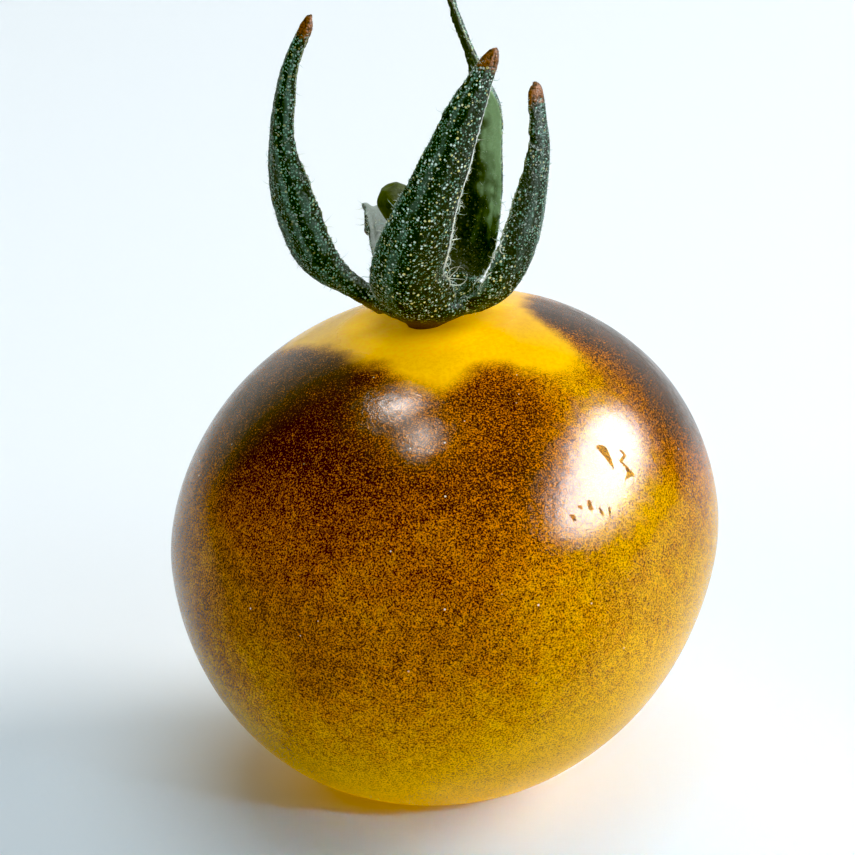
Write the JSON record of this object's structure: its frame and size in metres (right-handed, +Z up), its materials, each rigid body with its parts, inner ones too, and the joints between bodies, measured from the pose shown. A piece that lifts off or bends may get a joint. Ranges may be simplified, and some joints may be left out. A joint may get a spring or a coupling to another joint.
{
  "type": "cherry tomato",
  "caption": "Small round bicolour tomato on a flat rest spot, with an upright green calyx of pointed sepals and a short knuckled stem stub.",
  "frame": {"origin": "centre of the small flat spot on which the fruit rests", "axes": "+Z up towards the stem end, -Y towards the viewer of the picture, +X to that viewer's right"},
  "size_m": [0.0241, 0.0242, 0.0364],
  "materials": {
    "skin": "glossy thin skin, amber with a fine dark purple speckle, golden round the calyx",
    "sepal": "matt, covered with short white hairs, tips dried brown",
    "stem": "matt olive, finely hairy"
  },
  "bodies": {
    "root": {"fruit": "skin", "calyx": "sepal", "pedicel": "stem"}
  },
  "joints": []
}
